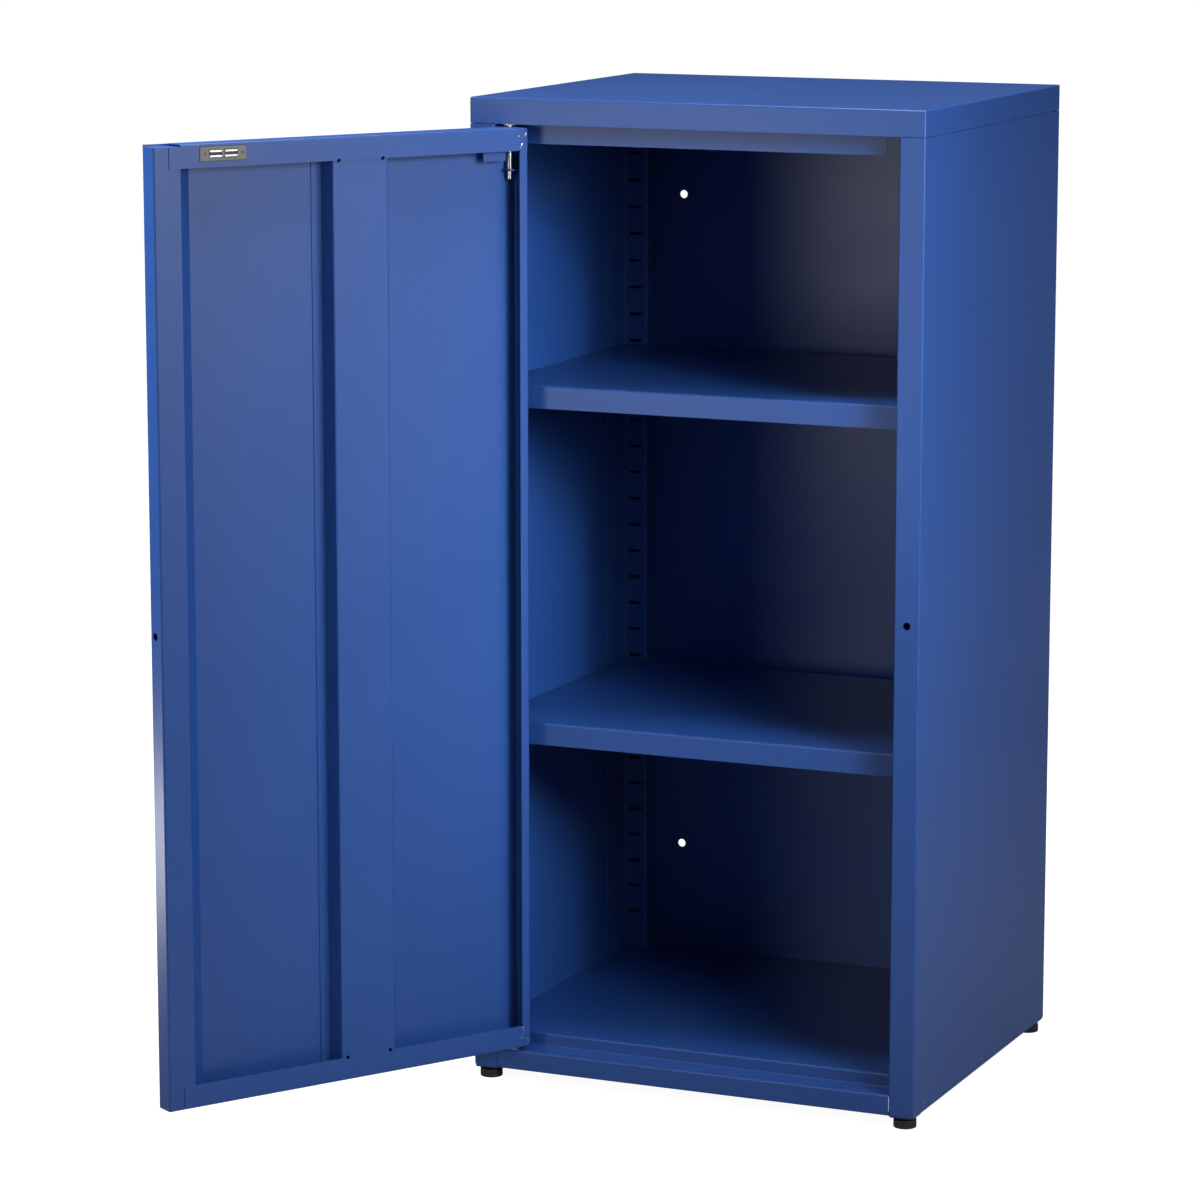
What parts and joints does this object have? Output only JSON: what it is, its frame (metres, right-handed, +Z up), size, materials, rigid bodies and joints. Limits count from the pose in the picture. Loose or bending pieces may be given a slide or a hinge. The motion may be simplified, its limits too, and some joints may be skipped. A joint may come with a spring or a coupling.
{
  "type": "locker cabinet",
  "caption": "Folded sheet-steel locker cabinet on levelling feet, with lift-out shelves and an inset door that swings on vertical pins, a magnetic catch and lock holes.",
  "frame": {"origin": "on the floor under the middle of the bounding box, with the door open as stored", "axes": "+Z up, +X to the right of someone facing the cabinet, +Y from the front towards the back"},
  "size_m": [0.6892, 0.7904, 1.05],
  "materials": {
    "paint": "gentian blue powder coat, semi-gloss, very fine orange peel",
    "zinc_plated_steel": "bright zinc plating",
    "bright_steel": "drawn, satin",
    "rivet_aluminium": "satin",
    "black_plastic": "moulded, satin",
    "grey_plastic": "moulded, matt",
    "ivory_nylon": "moulded, satin",
    "ferrite": "ground ferrite, matt"
  },
  "bodies": {
    "cabinet": {"top_cap": "paint", "left_side_panel": "paint", "right_side_panel": "paint", "back_panel": "paint", "floor_pan": "paint", "head_rail": "paint", "left_front_post": "paint", "right_front_post": "paint", "left_rear_post": "paint", "right_rear_post": "paint", "upper_shelf_clips": "zinc_plated_steel", "lower_shelf_clips": "zinc_plated_steel", "cap_screws": "paint", "back_panel_rivets": "rivet_aluminium", "foot_inserts": "black_plastic", "top_hinge_bush": "ivory_nylon", "bottom_hinge_bush": "ivory_nylon"},
    "door": {"door_skin": "paint", "door_stiffener": "paint", "lock_side_stiffener": "paint", "magnet_case": "grey_plastic", "magnet_poles": "bright_steel", "catch_magnets": "ferrite", "pin_guide": "paint", "pin_spring": "bright_steel", "bottom_hinge_pin": "bright_steel"},
    "hinge_pin": {"top_hinge_pin": "bright_steel", "pin_pull_arm": "paint", "pin_clip": "zinc_plated_steel"},
    "upper_shelf": {"upper_shelf": "paint"},
    "lower_shelf": {"lower_shelf": "paint"},
    "front_left_leveller": {"front_left_foot": "black_plastic", "front_left_stem": "zinc_plated_steel"},
    "front_right_leveller": {"front_right_foot": "black_plastic", "front_right_stem": "zinc_plated_steel"},
    "rear_left_leveller": {"rear_left_foot": "black_plastic", "rear_left_stem": "zinc_plated_steel"},
    "rear_right_leveller": {"rear_right_foot": "black_plastic", "rear_right_stem": "zinc_plated_steel"}
  },
  "joints": [
    {"name": "door_hinge", "type": "hinge", "parent": "cabinet", "child": "door", "pos_m": [-0.11341, -0.02579, 0.039], "axis": [0, 0, 1], "range_deg": [-3, 122]},
    {"name": "pin_pull", "type": "slide", "parent": "door", "child": "hinge_pin", "axis": [0, 0, -1], "range_m": [0, 0.012], "stiffness_N_per_m": 350, "springref_m": -0.012, "deforming": ["pin_spring"]},
    {"name": "upper_shelf_lift", "type": "slide", "parent": "cabinet", "child": "upper_shelf", "axis": [0, 0, 1], "range_m": [0, 0.24]},
    {"name": "lower_shelf_lift", "type": "slide", "parent": "cabinet", "child": "lower_shelf", "axis": [0, 0, 1], "range_m": [0, 0.3]},
    {"name": "front_left_screw", "type": "slide", "parent": "cabinet", "child": "front_left_leveller", "axis": [0, 0, -1], "range_m": [0, 0.01]},
    {"name": "front_right_screw", "type": "slide", "parent": "cabinet", "child": "front_right_leveller", "axis": [0, 0, -1], "range_m": [0, 0.01]},
    {"name": "rear_left_screw", "type": "slide", "parent": "cabinet", "child": "rear_left_leveller", "axis": [0, 0, -1], "range_m": [0, 0.01]},
    {"name": "rear_right_screw", "type": "slide", "parent": "cabinet", "child": "rear_right_leveller", "axis": [0, 0, -1], "range_m": [0, 0.01]}
  ]
}
